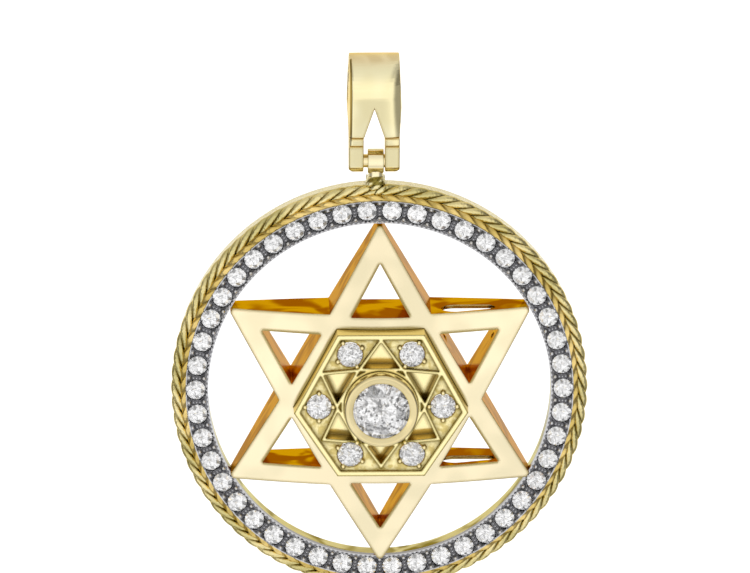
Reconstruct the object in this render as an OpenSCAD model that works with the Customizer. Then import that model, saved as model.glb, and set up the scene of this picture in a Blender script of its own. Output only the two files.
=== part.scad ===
// Star of David pendant: a domed six-pointed star with a raised hexagonal cluster of stones,
// held inside a pave halo ring with a rope border, and hung from a hinged bail.
// The pendant hangs upright: X to the right, Y to the back, Z up, in millimetres.
// The origin is the inside of the bail's top, where a chain bears.

/* [Halo ring] */
// Radius of the open round that the star fills
ring_in_r = 14; // [12:0.1:18]
// Radial width of the pave band
band_w = 1.85; // [1.6:0.05:2.4]
// Depth of the ring's outer edge from the pave front to the back
ring_depth = 3.3; // [3:0.1:5]
// Depth of the ring's inner edge from the pave front to the back
ring_in_depth = 2.4; // [2.2:0.1:3]
// Thickness of the ring's inner and outer walls
ring_wall = 0.4; // [0.3:0.05:0.7]
// Thickness of the ring's closed back
ring_back_t = 0.7; // [0.4:0.05:1]
// Thickness of the dark plate that holds the pave stones
bed_t = 0.6; // [0.4:0.05:0.9]

/* [Rope border] */
// Diameter of the twisted rope round the ring
rope_d = 1.16; // [0.8:0.02:1.4]
// How far the rope's axis lies behind the pave front
rope_set = 1.2; // [0.9:0.05:1.5]
// Strands in the rope
rope_strands = 3; // [2:1:4]
// Turns that each strand makes round the rope on its way round the ring
rope_turns = 26; // [16:1:32]
// Depth of the grooves between strands
rope_groove = 0.2; // [0.08:0.02:0.3]

/* [Pave stones] */
// Number of stones round the ring
pave_count = 46; // [36:1:46]
// Diameter of a pave stone
pave_d = 1.6; // [1.3:0.05:1.7]
// Diameter of a setting bead between two pave stones
pave_bead_d = 0.36; // [0.2:0.02:0.4]

/* [Star] */
// Distance from the star's centre to the straight outer edge of a bar
star_apothem = 7.17; // [6.9:0.01:7.6]
// Width of a bar across its front
bar_w = 1.62; // [1.3:0.02:1.9]
// How far each window's base lies inside the outer line of the bar that it meets
window_set = 0.2; // [0:0.05:0.4]
// Height of a tip's front above the pave front
tip_rise = 1; // [0.6:0.1:1.4]
// Slope of the star's domed front, in degrees
dome_slope = 21; // [12:1:26]
// Depth of the star's back behind the pave front, at the star's middle
star_back = 2.9; // [2:0.1:3.2]
// Depth of the star's back behind the pave front, at a tip
tip_back = 1.6; // [1:0.1:2]
// Thickness of the star's front plate
plate_t = 0.6; // [0.4:0.05:0.8]
// Thickness of the star's side walls
side_wall = 0.32; // [0.25:0.01:0.4]
// Distance from the star's centre line to the inner end of a pierced slot
slot_from = 5; // [4.8:0.1:6]
// Length of a pierced slot along its bar
slot_len = 4.4; // [2.5:0.1:4.6]
// Height of a slot's back edge above the pave front
slot_low = 0.2; // [-0.6:0.1:0.4]
// Thickness of the plate that is left in front of a slot
slot_lip = 0.3; // [0.2:0.02:0.5]
// Height of the core behind the cluster, above the pave front
core_front = 2.5; // [1.5:0.1:2.6]
// Depth of the core's back behind the pave front
core_back = 0.8; // [0:0.1:1.6]

/* [Cluster] */
// Distance from the cluster's centre to its top side
cluster_apothem = 6.06; // [5.9:0.02:6.2]
// Distance from the cluster's centre to its bottom side
cluster_low_apothem = 5.8; // [5.7:0.02:6.1]
// Distance from the cluster's centre to its left and right corners
cluster_reach = 7.1; // [6.9:0.02:7.2]
// How far the left and right corners lie below the centre
corner_drop = 0.5; // [0:0.02:0.6]
// Height of the cluster's front above the pave front
cluster_rise = 5.7; // [5:0.1:7]
// Depth of the six triangular recesses below the cluster's front
recess_depth = 1.7; // [1:0.05:1.8]
// Width of the raised rim round the cluster
rim_w = 0.42; // [0.3:0.02:0.6]
// Width of the raised border round each recess
border_w = 0.26; // [0.15:0.01:0.35]
// Depth of the stones' fields below the rim
field_drop = 0.22; // [0.1:0.02:0.35]
// Diameter of a side stone
side_stone_d = 2.06; // [1.7:0.02:2.1]
// Radius of the circle that the side stones stand on
side_stone_r = 5.05; // [4.95:0.01:5.15]
// How far the two lowest side stones stand above that circle
low_pair_lift = 0.38; // [0:0.02:0.4]
// Half the width of a triangular recess at its base
recess_half = 1.5; // [1.2:0.02:1.5]
// Diameter of a setting bead beside a side stone
side_bead_d = 0.4; // [0.3:0.02:0.5]

/* [Centre setting] */
// Diameter of the centre stone
centre_stone_d = 4.8; // [4:0.1:5]
// Outer radius of the bezel
bezel_r = 3; // [2.9:0.02:3.1]
// Height of the bezel's rim above the pave front
bezel_rise = 7.2; // [6.5:0.1:8.5]

/* [Bail] */
// Diameter of the bail's round top, from front to back
bail_depth = 5.4; // [4.6:0.1:6.6]
// Thickness of the bail's strap
bail_t = 0.85; // [0.6:0.05:1.1]
// Height of the round top's centre above the hinge pin
bail_rise = 6.3; // [5.5:0.05:8]
// Widest width of the bail
bail_w = 4.42; // [4.2:0.02:5]
// Width of the bail at its top
bail_top_w = 4.1; // [3.6:0.02:4.2]
// Width over the two legs
leg_span = 4.16; // [4:0.02:4.2]
// Radius of a leg's round end
leg_end_r = 0.9; // [0.8:0.02:1.1]
// Height of the slot's point above the hinge pin
slot_rise = 4.86; // [4.2:0.02:5]
// Depth of the two fine grooves across each leg
groove_t = 0.08; // [0.04:0.01:0.15]

/* [Hinge] */
// Height of the hinge pin's axis above the rope's outside
pin_over_rope = 1.92; // [1.6:0.02:4]
// How far the hanger stands to the side of the star's axis
hanger_side = -0.3; // [-0.5:0.05:0.5]
// How far the hinge pin lies behind the pave front
pin_set = 1.3; // [0.6:0.1:2]
// Diameter of the hinge pin
pin_d = 1.1; // [0.7:0.05:1.2]
// Wall of the hanger's barrel round the pin
barrel_wall = 0.38; // [0.3:0.02:0.5]
// Width of the hanger's barrel
barrel_w = 1.3; // [1:0.05:1.4]
// Width of the opening between the legs
leg_opening = 1.74; // [1.66:0.01:1.9]
// How far the barrel stands to the right of the middle between the legs
barrel_side = 0.13; // [0:0.01:0.14]
// Radial running clearance round the pin in the barrel
pin_clear = 0.05; // [0.02:0.01:0.09]

/* [Hidden] */

// Smooth rounds, and the small gap that every seated piece keeps
$fn = 96;
seat_gap = 0.02;
// Overrun of a cutting shape past the face that it cuts
cut = 1;
// A six-pointed star and a hexagon repeat every sixth of a turn
sixth = 60;

// Halo ring: the rope lies against the band's outer wall and in front of a flange
band_out_r = ring_in_r + band_w;
rope_r = rope_d / 2;
rope_ring_r = band_out_r + seat_gap + rope_r;
flange_r = rope_ring_r + rope_r - 0.18;
flange_front = rope_set + rope_r + seat_gap;

// Pave stones: proportions of a small single cut, as shares of its diameter
melee_table = 0.56;
melee_crown = 0.13;
melee_girdle = 0.04;
melee_pavilion = 0.4;
pave_r = ring_in_r + band_w * 0.55;
pave_girdle = -melee_crown * pave_d;
pave_first = 90 + 180 / pave_count;
bed_drop = 0.12;
bead_proud = 0.05;

// Full cut: the same shares for the larger stones
full_table = 0.55;
full_star = 0.78;
full_crown = 0.145;
full_girdle = 0.03;
full_pavilion = 0.43;
full_break = 0.2;

// Star: outer line, inner line and tips of its bars
star_in_apothem = star_apothem - bar_w;
window_base = star_apothem - window_set;
star_tip_r = ring_in_r - seat_gap;
dome_flat_r = cluster_apothem - 0.4;
function dome_front(r) = tip_rise + (star_tip_r - max(r, dome_flat_r)) * tan(dome_slope);
function dome_back(r) = r < dome_flat_r
    ? star_back
    : tip_back + (star_tip_r - r) / (star_tip_r - dome_flat_r) * (star_back - tip_back);

// Cluster: it stands in a shallow hexagonal seat in the star's crown
seat_sink = 0.05;
cluster_corner_r = norm([cluster_reach, corner_drop]);
cluster_seat = dome_front(cluster_corner_r) - seat_sink;
field_front = cluster_rise - field_drop;
side_girdle = field_front + side_stone_d * full_girdle;
recess_base_r = bezel_r + border_w;
recess_tip_r = cluster_apothem - rim_w - border_w;

// The three lower recesses are smaller, the lowest most, by these shares, anticlockwise from the right
recess_shares = [1, 1, 1, 0.92, 0.72, 0.92];

// Centre setting: the stone's girdle lies under the bezel's rim, on a seat above the bore
bezel_back = core_front + seat_gap;
bezel_lip = 0.12;
bezel_bore_r = centre_stone_d * 0.38;
centre_girdle = bezel_rise - 3.5 * bezel_lip;
centre_seat = centre_girdle - full_girdle * centre_stone_d - seat_gap;
azure_r = side_stone_d * 0.475;

// Hinge: the origin lies inside the bail's top, above the pin
bail_r = bail_depth / 2;
eye_r = bail_r - bail_t;
eye_z = -eye_r;
pin_z = eye_z - bail_rise;
hanger_rise = rope_ring_r + rope_r + pin_over_rope;
ring_z = pin_z - hanger_rise;
barrel_r = pin_d / 2 + pin_clear + barrel_wall;
leg_inside = leg_opening / 2;
groove_rises = [slot_rise * 0.3, slot_rise * 0.45];
groove_w = 0.12;

// Hanger: a bead over the rope, as wide and high as these shares of the barrel, and a narrower neck
bead_r = barrel_w * 0.6;
bead_h = barrel_w * 0.25;
neck_r = barrel_w * 0.46;
rope_clear = 0.05;

// Puts a shape drawn in the pendant's plan, with its height as Z, upright below the bail
module in_face() {
    translate([barrel_side - hanger_side, -pin_set, ring_z])
        rotate([90, 0, 0])
            children();
}

// A ring of points, evenly spaced
function ring_points(r, z, sides, turn) =
    [for (i = [0:sides - 1]) [r * cos(360 * i / sides + turn), r * sin(360 * i / sides + turn), z]];

// A single cut stone: table, crown facets, girdle and a pointed pavilion, with the girdle's top at z = 0
module single_cut(d) {
    sides = 8;
    points = concat(
        ring_points(melee_table * d / 2, melee_crown * d, sides, 0),
        ring_points(d / 2, 0, sides, 0),
        ring_points(d / 2, -melee_girdle * d, sides, 0),
        [[0, 0, -(melee_girdle + melee_pavilion) * d]]);
    culet = 3 * sides;
    faces = concat(
        [[for (i = [sides - 1:-1:0]) i]],
        [for (row = [0:1], i = [0:sides - 1])
            [row * sides + i, row * sides + (i + 1) % sides,
             (row + 1) * sides + (i + 1) % sides, (row + 1) * sides + i]],
        [for (i = [0:sides - 1]) [2 * sides + i, 2 * sides + (i + 1) % sides, culet]]);
    polyhedron(points, faces);
}

// A full round brilliant: table, star, kite and girdle facets over mains and lower halves
module full_cut(d) {
    mains = 8;
    halves = 16;
    table = 0;
    crown = mains;
    girdle_top = crown + mains;
    girdle_low = girdle_top + halves;
    lower = girdle_low + halves;
    culet = lower + mains;
    points = concat(
        ring_points(full_table * d / 2, full_crown * d, mains, 22.5),
        ring_points(full_star * d / 2, full_crown * 0.58 * d, mains, 0),
        ring_points(d / 2, 0, halves, 0),
        ring_points(d / 2, -full_girdle * d, halves, 0),
        ring_points(full_break * d / 2, -(full_girdle + full_pavilion * 0.83) * d, mains, 0),
        [[0, 0, -(full_girdle + full_pavilion) * d]]);
    faces = concat(
        [[for (i = [mains - 1:-1:0]) table + i]],
        [for (i = [0:mains - 1]) [table + (i + mains - 1) % mains, table + i, crown + i]],
        [for (i = [0:mains - 1]) [table + i, girdle_top + 2 * i + 1, crown + i]],
        [for (i = [0:mains - 1]) [table + i, crown + (i + 1) % mains, girdle_top + 2 * i + 1]],
        [for (i = [0:mains - 1])
            [crown + i, girdle_top + 2 * i, girdle_top + (2 * i + halves - 1) % halves]],
        [for (i = [0:mains - 1]) [crown + i, girdle_top + 2 * i + 1, girdle_top + 2 * i]],
        [for (i = [0:halves - 1])
            [girdle_top + i, girdle_top + (i + 1) % halves,
             girdle_low + (i + 1) % halves, girdle_low + i]],
        [for (i = [0:mains - 1])
            [lower + i, girdle_low + (2 * i + halves - 1) % halves, girdle_low + 2 * i]],
        [for (i = [0:mains - 1]) [lower + i, girdle_low + 2 * i, girdle_low + 2 * i + 1]],
        [for (i = [0:mains - 1]) [lower + i, girdle_low + 2 * i + 1, culet]],
        [for (i = [0:mains - 1]) [lower + (i + 1) % mains, culet, girdle_low + 2 * i + 1]]);
    polyhedron(points, faces);
}

// A triangle with the given distance to its sides, pointing up or down
module triangle(apothem, up) {
    rotate(up ? 90 : -90)
        circle(r = 2 * apothem, $fn = 3);
}

// A six-pointed star, given by the distance to the lines of its sides
module hexagram(apothem) {
    triangle(apothem, true);
    triangle(apothem, false);
}

// A hexagon with corners to the left and right
module hexagon(apothem) {
    circle(r = apothem / cos(30), $fn = 6);
}

// One window, the open triangle inside a point of the star, with its point up
module window(side, base) {
    half = (2 * side - base) * tan(30);
    polygon([[-half, base], [half, base], [0, 2 * side]]);
}

// All six windows
module windows(side, base) {
    for (i = [0:5])
        rotate(i * sixth + 30)
            rotate(-90)
                window(side, base);
}

// The star's domed sheet, from its front lowered by one amount to its back deepened by another
module dome(lower, deepen) {
    rotate_extrude()
        polygon([[0, -dome_back(0) - deepen],
                 [dome_flat_r, -dome_back(dome_flat_r) - deepen],
                 [star_tip_r, -dome_back(star_tip_r) - deepen],
                 [star_tip_r, dome_front(star_tip_r) - lower],
                 [dome_flat_r, dome_front(dome_flat_r) - lower],
                 [0, dome_front(dome_flat_r) - lower]]);
}

// A long slot through a bar, its round ends as high as the wall leaves them
module bar_slot() {
    from_r = norm([slot_from + bar_w * 0.8, star_apothem]);
    to_r = norm([slot_from + slot_len, star_apothem]);
    near_r = (dome_front(from_r) - slot_lip - slot_low) / 2;
    far_r = (dome_front(to_r) - slot_lip - slot_low) / 2;
    near = [slot_from + near_r, slot_low + near_r];
    far = [slot_from + slot_len - far_r, slot_low + far_r];
    lean = atan2(far[1] - near[1], far[0] - near[0]);
    upper = [-sin(2 * lean), cos(2 * lean)];
    rotate([90, 0, 0])
        linear_extrude(height = bar_w + 2 * cut, center = true) {
            translate(near)
                circle(r = near_r);
            translate(far)
                circle(r = far_r);
            polygon([[near[0], slot_low], [far[0], slot_low], far + far_r * upper, near + near_r * upper]);
        }
}

// The side stones stand on a circle, the two lowest a little higher
function side_stone_at(i) =
    [side_stone_r * cos(i * sixth), side_stone_r * sin(i * sixth) + (i > 3 ? low_pair_lift : 0), 0];

// Repeats a shape at each side stone
module at_side_stones() {
    for (i = [0:5])
        translate(side_stone_at(i))
            rotate(i * sixth)
                children();
}

// One side stone, counted from the right, anticlockwise
module side_stone(i) {
    color("white")
        in_face()
            translate(side_stone_at(i) + [0, 0, side_girdle])
                rotate(i * sixth)
                    full_cut(side_stone_d);
}

// The cluster's outline, a hexagon with dropped corners, grown or shrunk by the given amount
module cluster_outline(grow) {
    half = cluster_reach / 2;
    scale(1 + grow / cluster_low_apothem)
        polygon([[half, cluster_apothem], [-half, cluster_apothem], [-cluster_reach, -corner_drop],
                 [-half, -cluster_low_apothem], [half, -cluster_low_apothem],
                 [cluster_reach, -corner_drop]]);
}

// The hollow gold ring with its flange behind the rope, and the hinge's hanger soldered on its top
module halo_ring() {
    front = -bed_t - seat_gap;
    color("gold")
        in_face()
            difference() {
                union() {
                    rotate_extrude()
                        difference() {
                            polygon([[ring_in_r, -ring_in_depth],
                                     [flange_r, -ring_depth],
                                     [flange_r, -flange_front],
                                     [band_out_r, -flange_front],
                                     [band_out_r, front],
                                     [ring_in_r, front]]);
                            translate([ring_in_r + ring_wall, ring_back_t - ring_in_depth])
                                square([band_w - 2 * ring_wall, ring_depth]);
                        }
                    hanger();
                }
                translate([hanger_side, hanger_rise, -pin_set])
                    rotate([0, 90, 0])
                        cylinder(r = pin_d / 2 + pin_clear, h = barrel_w + 2 * cut, center = true);
            }
}

// The hanger stands behind and over the rope: a foot on the flange, a bead, a collar and the barrel
module hanger() {
    foot_r = flange_r - bead_h;
    rope_top = rope_ring_r + rope_r + rope_clear;
    foot_back = ring_depth - pin_set - bead_h;
    translate([hanger_side, 0, -pin_set]) {
        translate([-bead_r, foot_r, -foot_back])
            cube([2 * bead_r, rope_top + bead_h - foot_r, foot_back + pin_set - flange_front]);
        translate([-bead_r, rope_top, -foot_back])
            cube([2 * bead_r, bead_h, foot_back]);
        translate([0, rope_top, 0])
            rotate([-90, 0, 0]) {
                cylinder(r = bead_r, h = bead_h);
                translate([0, 0, bead_h])
                    cylinder(r1 = bead_r, r2 = neck_r, h = bead_h);
                cylinder(r = neck_r, h = hanger_rise - rope_top);
            }
        translate([0, hanger_rise, 0])
            rotate([0, 90, 0])
                cylinder(r = barrel_r, h = barrel_w, center = true);
    }
}

// The dark plate of the halo: a seat for each stone and two rows of setting beads
module pave_bed() {
    bead_rows = [ring_in_r + pave_bead_d * 0.62, band_out_r - pave_bead_d * 0.62];
    color("dimgray")
        in_face()
            difference() {
                union() {
                    rotate_extrude()
                        translate([ring_in_r, -bed_t])
                            square([band_w, bed_t - bed_drop]);
                    for (i = [0:pave_count - 1], row = bead_rows)
                        rotate(pave_first + (i + 0.5) * 360 / pave_count)
                            translate([row, 0, -bed_t / 2])
                                cylinder(d = pave_bead_d, h = bed_t / 2 + bead_proud, $fn = 24);
                }
                for (i = [0:pave_count - 1])
                    rotate(pave_first + i * 360 / pave_count)
                        translate([pave_r, 0, -bed_t - cut])
                            cylinder(r = pave_d / 2 + seat_gap, h = bed_t + 2 * cut, $fn = 48);
            }
}

// The halo's row of small stones, each clear of its neighbours and of the plate
module pave_stones() {
    color("white")
        in_face()
            for (i = [0:pave_count - 1])
                rotate(pave_first + i * 360 / pave_count)
                    translate([pave_r, 0, pave_girdle])
                        single_cut(pave_d);
}

// A closed rope: a lobed section that turns as it goes round the ring
module rope_border() {
    sides = 3 * rope_strands;
    rings = 12 * rope_turns;
    function lobe(j) = rope_r - (j % 3 == 0 ? 0 : rope_groove * (j % 3 == 1 ? 1 : 0.55));
    function rope_point(i, j) =
        let (at = 360 * i / rings,
             turn = 360 * j / sides + rope_turns * at,
             out = rope_ring_r + lobe(j) * cos(turn))
        [out * cos(at), out * sin(at), lobe(j) * sin(turn) - rope_set];
    function rope_index(i, j) = (i % rings) * sides + j % sides;
    color("goldenrod")
        in_face()
            polyhedron(
                [for (i = [0:rings - 1], j = [0:sides - 1]) rope_point(i, j)],
                [for (i = [0:rings - 1], j = [0:sides - 1], half = [0, 1])
                    half == 0
                        ? [rope_index(i, j), rope_index(i, j + 1), rope_index(i + 1, j + 1)]
                        : [rope_index(i, j), rope_index(i + 1, j + 1), rope_index(i + 1, j)]]);
}

// The domed star: thin front plate and side walls, open at the back, with a seat for the cluster
module star_frame() {
    slot_mid = star_apothem - bar_w / 2;
    color("khaki")
        in_face()
            difference() {
                union() {
                    intersection() {
                        dome(0, 0);
                        translate([0, 0, -star_back])
                            linear_extrude(height = star_back + bezel_rise)
                                difference() {
                                    hexagram(star_apothem);
                                    windows(star_in_apothem, window_base);
                                    hexagon(star_in_apothem);
                                }
                    }
                    core();
                }
                intersection() {
                    dome(plate_t, cut);
                    translate([0, 0, -star_back - cut])
                        linear_extrude(height = star_back + bezel_rise)
                            difference() {
                                hexagram(star_apothem - side_wall);
                                windows(star_in_apothem + side_wall, window_base - side_wall);
                                hexagon(star_in_apothem + side_wall);
                            }
                }
                translate([0, 0, cluster_seat])
                    linear_extrude(height = bezel_rise)
                        cluster_outline(seat_gap);
                for (side = [1, -1])
                    translate([0, side * slot_mid, 0])
                        bar_slot();
            }
}

// The core in the star's middle: it carries the bezel, and is open at the back behind each recess
module core() {
    translate([0, 0, -core_back])
        linear_extrude(height = core_back + core_front)
            difference() {
                hexagon(star_in_apothem + side_wall / 2);
                recesses(0);
                circle(r = bezel_bore_r);
                at_side_stones()
                    circle(r = azure_r);
            }
}

// The hexagonal cluster: a raised rim, six deep triangles and six shallow fields with set stones
module cluster() {
    bead_set = side_stone_d / 2 + side_bead_d * 0.28;
    side_bead_h = field_drop * 0.9;
    color("khaki")
        in_face()
            difference() {
                union() {
                    difference() {
                        translate([0, 0, cluster_seat + seat_gap])
                            linear_extrude(height = cluster_rise - cluster_seat - seat_gap)
                                cluster_outline(0);
                        translate([0, 0, field_front])
                            linear_extrude(height = cut)
                                fields();
                    }
                    at_side_stones()
                        for (turn = [0:90:270])
                            rotate(turn)
                                translate([bead_set, 0, field_front - side_bead_h])
                                    cylinder(d = side_bead_d, h = 2 * side_bead_h, $fn = 24);
                }
                translate([0, 0, cluster_rise - recess_depth])
                    linear_extrude(height = recess_depth + cut)
                        recesses(0);
                cylinder(r = bezel_r + seat_gap, h = cluster_rise + cut);
                at_side_stones()
                    cylinder(r = side_stone_d / 2 + seat_gap, h = cluster_rise + cut);
            }
}

// The shallow fields: all that lies between the rim and the raised borders of the recesses
module fields() {
    difference() {
        cluster_outline(-rim_w);
        recesses(border_w);
        circle(r = bezel_r + border_w);
    }
}

// Six triangular recesses, the points of the inner star, grown by the given amount
module recesses(grow) {
    for (i = [0:5]) {
        share = recess_shares[i];
        half = recess_half * share;
        reach = (recess_tip_r - recess_base_r) * share;
        inner_r = half * reach / (half + norm([half, reach]));
        k = 1 + grow / inner_r;
        rotate(i * sixth + 30)
            translate([recess_base_r + inner_r, 0])
                polygon([[-inner_r * k, -half * k], [(reach - inner_r) * k, 0], [-inner_r * k, half * k]]);
    }
}

// The centre stone's tall round bezel, standing on the core
module centre_bezel() {
    stone_r = centre_stone_d / 2 + seat_gap;
    color("khaki")
        in_face()
            rotate_extrude()
                polygon([[bezel_bore_r, bezel_back],
                         [bezel_r, bezel_back],
                         [bezel_r, bezel_rise - 3 * bezel_lip],
                         [bezel_r - bezel_lip, bezel_rise],
                         [stone_r, bezel_rise - bezel_lip],
                         [stone_r, centre_seat],
                         [bezel_bore_r, centre_seat - (stone_r - bezel_bore_r)]]);
}

module centre_stone() {
    color("white")
        in_face()
            translate([0, 0, centre_girdle])
                full_cut(centre_stone_d);
}

module side_stone_1() { side_stone(0); }
module side_stone_2() { side_stone(1); }
module side_stone_3() { side_stone(2); }
module side_stone_4() { side_stone(3); }
module side_stone_5() { side_stone(4); }
module side_stone_6() { side_stone(5); }

// The bail: a drop-shaped loop seen from the side, split in front and behind into two legs
module bail() {
    color("khaki")
        difference() {
            intersection() {
                rotate([90, 0, 90])
                    linear_extrude(height = bail_w, center = true)
                        difference() {
                            drop(bail_r, leg_end_r, bail_rise);
                            eye();
                        }
                rotate([90, 0, 0])
                    linear_extrude(height = bail_depth + 2 * cut, center = true)
                        bail_front();
            }
            rotate([90, 0, 0])
                linear_extrude(height = bail_depth + 2 * cut, center = true)
                    leg_slot();
            for (rise = groove_rises)
                leg_groove(rise);
            translate([0, 0, pin_z])
                rotate([0, 90, 0])
                    cylinder(r = pin_d / 2 + seat_gap / 2, h = bail_w + 2 * cut, center = true);
        }
}

// A fine groove across the front and the back of both legs
module leg_groove(rise) {
    difference() {
        translate([0, 0, pin_z + rise])
            cube([bail_w + 2 * cut, bail_depth + 2 * cut, groove_w], center = true);
        rotate([90, 0, 90])
            linear_extrude(height = bail_w + 4 * cut, center = true)
                drop(bail_r - groove_t, leg_end_r - groove_t, bail_rise);
    }
}

// A drop seen from the side, its top round at the eye and its small end round the pin
module drop(top_r, end_r, rise) {
    lean = asin((top_r - end_r) / rise);
    side = [cos(lean), -sin(lean)];
    translate([0, eye_z])
        circle(r = top_r);
    translate([0, eye_z - rise])
        circle(r = end_r);
    polygon([[top_r * side[0], eye_z + top_r * side[1]],
             [-top_r * side[0], eye_z + top_r * side[1]],
             [-end_r * side[0], eye_z - rise + end_r * side[1]],
             [end_r * side[0], eye_z - rise + end_r * side[1]]]);
}

// The chain's passage, a smaller drop that ends above the pin
module eye() {
    drop(eye_r, eye_r * 0.4, bail_rise * 0.55);
}

// Front outline of the bail: narrow top, full waist, two straight legs
module bail_front() {
    top_z = eye_z + bail_r;
    end_z = pin_z - leg_end_r;
    waist_z = pin_z + slot_rise;
    knee_z = pin_z + slot_rise * 0.5;
    corner = leg_end_r / 3;
    right = [[leg_span / 2 - corner, end_z], [leg_span / 2, end_z + corner], [leg_span / 2, knee_z],
             [bail_w / 2, waist_z], [bail_top_w / 2, top_z]];
    polygon(concat(right, [for (i = [len(right) - 1:-1:0]) [-right[i][0], right[i][1]]]));
}

// The opening between the legs: straight beside the hanger, then a narrowing point
module leg_slot() {
    shoulder = pin_z + slot_rise * 0.44;
    polygon([[-leg_inside, pin_z - leg_end_r - cut],
             [leg_inside, pin_z - leg_end_r - cut],
             [leg_inside, shoulder],
             [0, pin_z + slot_rise],
             [-leg_inside, shoulder]]);
}

// The pin through both legs, which the hanger's barrel turns on
module hinge_pin() {
    color("goldenrod")
        translate([0, 0, pin_z])
            rotate([0, 90, 0])
                cylinder(d = pin_d, h = leg_span, center = true);
}

bail();
hinge_pin();
halo_ring();
pave_bed();
pave_stones();
rope_border();
star_frame();
cluster();
centre_bezel();
centre_stone();
side_stone_1();
side_stone_2();
side_stone_3();
side_stone_4();
side_stone_5();
side_stone_6();
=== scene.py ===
# %% [markdown]
# Star of David pendant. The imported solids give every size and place; this lesson dresses them as a
# jeweller would finish the casting: polished yellow gold, a dark plated halo, bright round stones and a
# twisted rope wire. It could be one big mesh with painted colours, but separate pieces keep each finish
# on its own form, so the pendant still swings on its pin and holds up close by.

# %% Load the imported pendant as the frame
from math import atan2, cos, hypot, pi, radians, sin

import bmesh
import bpy
from mathutils import Matrix, Vector


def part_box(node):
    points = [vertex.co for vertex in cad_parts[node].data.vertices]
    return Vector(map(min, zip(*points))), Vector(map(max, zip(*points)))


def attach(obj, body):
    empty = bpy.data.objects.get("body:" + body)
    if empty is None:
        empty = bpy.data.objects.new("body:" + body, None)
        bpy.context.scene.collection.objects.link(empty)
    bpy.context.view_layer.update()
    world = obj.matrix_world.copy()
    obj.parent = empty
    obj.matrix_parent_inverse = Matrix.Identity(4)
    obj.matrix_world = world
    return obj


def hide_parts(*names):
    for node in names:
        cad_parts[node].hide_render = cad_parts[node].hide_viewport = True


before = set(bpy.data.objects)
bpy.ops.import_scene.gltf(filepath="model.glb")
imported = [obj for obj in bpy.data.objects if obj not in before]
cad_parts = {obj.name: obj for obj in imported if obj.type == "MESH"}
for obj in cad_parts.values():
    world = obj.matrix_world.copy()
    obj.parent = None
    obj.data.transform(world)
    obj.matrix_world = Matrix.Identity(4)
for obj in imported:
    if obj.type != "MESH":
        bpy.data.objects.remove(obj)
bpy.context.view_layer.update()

print("nodes:", ", ".join(sorted(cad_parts)))

# %% [markdown]
# A jeweller draws a pendant from the front. These helpers let the script do the same: sizes are
# millimetres across, up and towards the viewer, counted from the middle of the ring at the level of the
# stones' setting. The rope's box gives that middle, so nothing has to be fitted by eye.

# %% Drawing from the ring's middle, in millimetres
MM = 0.001
ROPE_SET = 1.2  # the rope's axis lies this far behind the front of the halo

rope_low, rope_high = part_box("rope_border")
face_x = (rope_low[0] + rope_high[0]) / 2
face_y = (rope_low[1] + rope_high[1]) / 2 - ROPE_SET * MM
face_z = (rope_low[2] + rope_high[2]) / 2
TO_FRAME = Matrix((
    (MM, 0, 0, face_x),
    (0, 0, -MM, face_y),
    (0, MM, 0, face_z),
    (0, 0, 0, 1),
))
print("ring's middle in mm:", [round(v / MM, 3) for v in (face_x, face_y, face_z)])


def turn(radius, degrees, forward=0.0):
    """A point on a circle round the ring's middle."""
    return Vector((radius * cos(radians(degrees)), radius * sin(radians(degrees)), forward))


# %% [markdown]
# A product camera stands far back with a long lens, so that round things stay round. This one looks
# down on the hanging pendant by 14 degrees, a little from its left, and the picture takes in 61 mm.

# %% Camera
PICTURE_W, PICTURE_H = 750, 573
PIXELS_PER_MM = 12.24
RING_AT = (379.65, 389.65)  # where the ring's middle falls in the picture
LOOK_DOWN, LOOK_FROM_LEFT = radians(14.2), radians(1.2)
CAMERA_DISTANCE, CLIP_START = 1.4, 0.1
SENSOR = 36.0

back = Vector((-sin(LOOK_FROM_LEFT) * cos(LOOK_DOWN), -cos(LOOK_FROM_LEFT) * cos(LOOK_DOWN), sin(LOOK_DOWN)))
right = Vector((cos(LOOK_FROM_LEFT), -sin(LOOK_FROM_LEFT), 0))
up = back.cross(right)
aim = Vector((face_x, face_y, face_z))
aim += right * ((PICTURE_W / 2 - RING_AT[0]) / PIXELS_PER_MM * MM)
aim += up * ((RING_AT[1] - PICTURE_H / 2) / PIXELS_PER_MM * MM)

camera_data = bpy.data.cameras.new("long_lens")
camera_data.sensor_width = SENSOR
camera_data.lens = SENSOR * CAMERA_DISTANCE / (PICTURE_W / PIXELS_PER_MM * MM)
camera_data.clip_start = CLIP_START
camera = bpy.data.objects.new("camera", camera_data)
camera.location = aim + back * CAMERA_DISTANCE
camera.rotation_euler = Matrix((right, up, back)).transposed().to_euler()
bpy.context.collection.objects.link(camera)
bpy.context.scene.camera = camera
bpy.context.scene.view_settings.view_transform = "Standard"
print("lens in mm:", round(camera_data.lens, 1))

# %% [markdown]
# A material is a network of nodes. These helpers let it be written like a sum: each adds one node, feeds
# it with numbers, colours or other nodes' outputs, and hands back what the next one needs. Nodes could be
# wired line by line, but the effect would be lost among the wires.

# %% Node helpers


def feed(tree, socket, value):
    """Gives an input another node's output, a number, a vector or a colour."""
    if isinstance(value, bpy.types.NodeSocket):
        tree.links.new(value, socket)
    elif socket.type == "RGBA":
        socket.default_value = (*value, 1)
    else:
        socket.default_value = value


def add_node(tree, kind, inputs, **settings):
    """A new node with its settings, and its inputs fed by their names or places."""
    node = tree.nodes.new(kind)
    for setting, value in settings.items():
        setattr(node, setting, value)
    for label, value in inputs.items():
        feed(tree, node.inputs[label], value)
    return node


print("node helpers ready")

# %% [markdown]
# Most effects need only a few kinds of node: places and directions, steps, sums, noise and blends. A
# short name for each keeps a material readable; written out, one sum of three values takes six lines.

# %% Short names for common nodes


def coordinates(tree, kind):
    """Where a point lies, or where it faces, as a vector."""
    return tree.nodes.new("ShaderNodeTexCoord").outputs[kind]


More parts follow.
